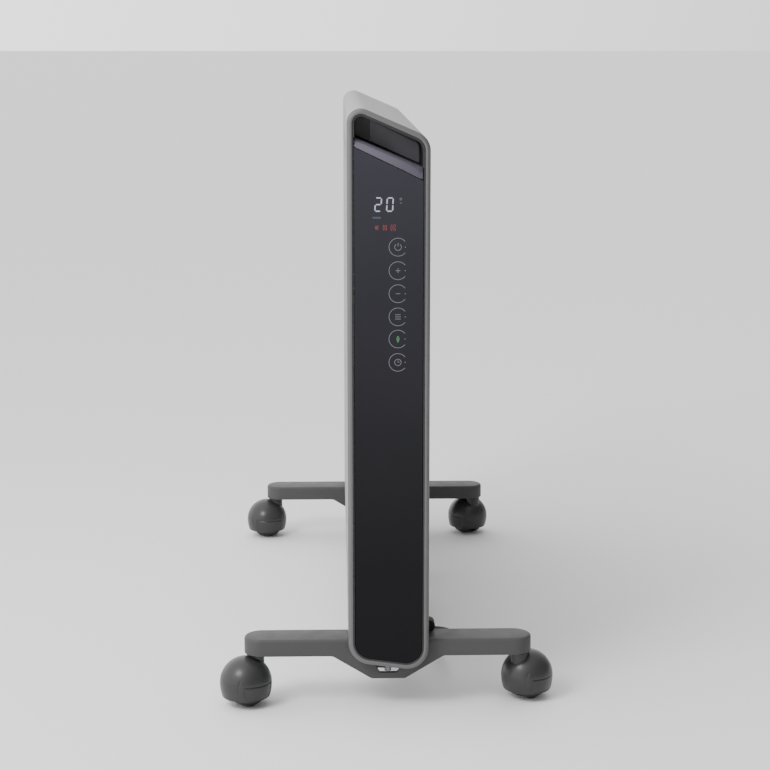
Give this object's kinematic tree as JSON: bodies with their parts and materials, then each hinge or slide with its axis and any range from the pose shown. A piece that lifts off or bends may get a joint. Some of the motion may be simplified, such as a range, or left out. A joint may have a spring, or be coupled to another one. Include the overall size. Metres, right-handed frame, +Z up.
{
  "type": "oil filled radiator heater",
  "caption": "Slim oil filled radiator with a smooth closed casing, sloped top, glass touch panel, grip pockets and two cross feet on hooded ball castors.",
  "frame": {"origin": "on the floor, below the centre of the body", "axes": "+Y runs along the body from the control end to the far end, +X to the right seen from the control end, +Z up"},
  "size_m": [0.323, 0.6918, 0.5662],
  "materials": {
    "silver_plastic": "fine satin moulded surface",
    "silver_paint": "satin powder coat",
    "lip_plastic": "polished",
    "frame_plastic": "satin",
    "panel_plastic": "fine grain",
    "black_glass": "polished, printed black on the back",
    "circuit_board": "solder mask",
    "foot_paint": "fine textured powder coat",
    "ivory_plastic": "plain",
    "zinc_steel": "bright zinc plate",
    "brass": "satin",
    "cord_rubber": "fine matt",
    "castor_plastic": "satin moulded surface",
    "wheel_plastic": "satin"
  },
  "bodies": {
    "heater": {"control_board": "circuit_board", "cord_coil": "cord_rubber", "cord_gland": "cord_rubber", "cord_tail": "cord_rubber", "display_board": "circuit_board", "element_flange": "brass", "fascia_frame": "frame_plastic", "front_bezel": "silver_plastic", "front_foot": "foot_paint", "front_foot_bolt": "zinc_steel", "front_foot_nut": "zinc_steel", "front_housing": "silver_plastic", "front_left_stem": "zinc_steel", "front_right_stem": "zinc_steel", "glass_fascia": "black_glass", "handle_lip": "lip_plastic", "heat_shield": "zinc_steel", "heating_element": "zinc_steel", "oil_filler_plug": "brass", "plug_body": "cord_rubber", "plug_pin_earth": "brass", "plug_pin_live": "brass", "plug_pin_neutral": "brass", "power_cord": "cord_rubber", "radiator_section_1": "silver_paint", "radiator_section_2": "silver_paint", "radiator_section_3": "silver_paint", "radiator_section_4": "silver_paint", "radiator_section_5": "silver_paint", "radiator_section_6": "silver_paint", "radiator_section_7": "silver_paint", "radiator_section_8": "silver_paint", "rear_foot": "foot_paint", "rear_foot_bolt": "zinc_steel", "rear_foot_nut": "zinc_steel", "rear_grip": "panel_plastic", "rear_housing": "silver_plastic", "rear_left_stem": "zinc_steel", "rear_panel": "panel_plastic", "rear_right_stem": "zinc_steel", "temperature_sensor": "brass", "thermal_cutout": "ivory_plastic", "tip_switch_case": "ivory_plastic"},
    "front_left_castor": {"front_left_hood": "castor_plastic", "front_left_axle": "zinc_steel"},
    "front_left_wheel_a": {"front_left_wheel_a": "wheel_plastic"},
    "front_left_wheel_b": {"front_left_wheel_b": "wheel_plastic"},
    "front_right_castor": {"front_right_hood": "castor_plastic", "front_right_axle": "zinc_steel"},
    "front_right_wheel_a": {"front_right_wheel_a": "wheel_plastic"},
    "front_right_wheel_b": {"front_right_wheel_b": "wheel_plastic"},
    "rear_left_castor": {"rear_left_hood": "castor_plastic", "rear_left_axle": "zinc_steel"},
    "rear_left_wheel_a": {"rear_left_wheel_a": "wheel_plastic"},
    "rear_left_wheel_b": {"rear_left_wheel_b": "wheel_plastic"},
    "rear_right_castor": {"rear_right_hood": "castor_plastic", "rear_right_axle": "zinc_steel"},
    "rear_right_wheel_a": {"rear_right_wheel_a": "wheel_plastic"},
    "rear_right_wheel_b": {"rear_right_wheel_b": "wheel_plastic"},
    "tip_pendulum": {"tip_switch_pendulum": "zinc_steel"}
  },
  "joints": [
    {"name": "front_left_swivel", "type": "hinge", "parent": "heater", "child": "front_left_castor", "pos_m": [-0.127, -0.315, 0.05], "axis": [0, 0, 1], "continuous": true},
    {"name": "front_left_spin_a", "type": "hinge", "parent": "front_left_castor", "child": "front_left_wheel_a", "pos_m": [-0.13611, -0.32202, 0.0195], "axis": [0.6101, -0.7923, 0], "continuous": true},
    {"name": "front_left_spin_b", "type": "hinge", "parent": "front_left_castor", "child": "front_left_wheel_b", "pos_m": [-0.13611, -0.32202, 0.0195], "axis": [0.6101, -0.7923, 0], "continuous": true},
    {"name": "front_right_swivel", "type": "hinge", "parent": "heater", "child": "front_right_castor", "pos_m": [0.127, -0.315, 0.05], "axis": [0, 0, 1], "continuous": true},
    {"name": "front_right_spin_a", "type": "hinge", "parent": "front_right_castor", "child": "front_right_wheel_a", "pos_m": [0.13513, -0.30687, 0.0195], "axis": [-0.7071, 0.7071, 0], "continuous": true},
    {"name": "front_right_spin_b", "type": "hinge", "parent": "front_right_castor", "child": "front_right_wheel_b", "pos_m": [0.13513, -0.30687, 0.0195], "axis": [-0.7071, 0.7071, 0], "continuous": true},
    {"name": "rear_left_swivel", "type": "hinge", "parent": "heater", "child": "rear_left_castor", "pos_m": [-0.127, 0.303, 0.05], "axis": [0, 0, 1], "continuous": true},
    {"name": "rear_left_spin_a", "type": "hinge", "parent": "rear_left_castor", "child": "rear_left_wheel_a", "pos_m": [-0.13833, 0.301, 0.0195], "axis": [0.1736, -0.9848, 0], "continuous": true},
    {"name": "rear_left_spin_b", "type": "hinge", "parent": "rear_left_castor", "child": "rear_left_wheel_b", "pos_m": [-0.13833, 0.301, 0.0195], "axis": [0.1736, -0.9848, 0], "continuous": true},
    {"name": "rear_right_swivel", "type": "hinge", "parent": "heater", "child": "rear_right_castor", "pos_m": [0.127, 0.303, 0.05], "axis": [0, 0, 1], "continuous": true},
    {"name": "rear_right_spin_a", "type": "hinge", "parent": "rear_right_castor", "child": "rear_right_wheel_a", "pos_m": [0.12099, 0.31281, 0.0195], "axis": [-0.8526, -0.5225, 0], "continuous": true},
    {"name": "rear_right_spin_b", "type": "hinge", "parent": "rear_right_castor", "child": "rear_right_wheel_b", "pos_m": [0.12099, 0.31281, 0.0195], "axis": [-0.8526, -0.5225, 0], "continuous": true},
    {"name": "tip_pendulum_swing", "type": "hinge", "parent": "heater", "child": "tip_pendulum", "pos_m": [0, -0.318, 0.116], "axis": [0, 1, 0], "range_deg": [-30, 30]}
  ]
}
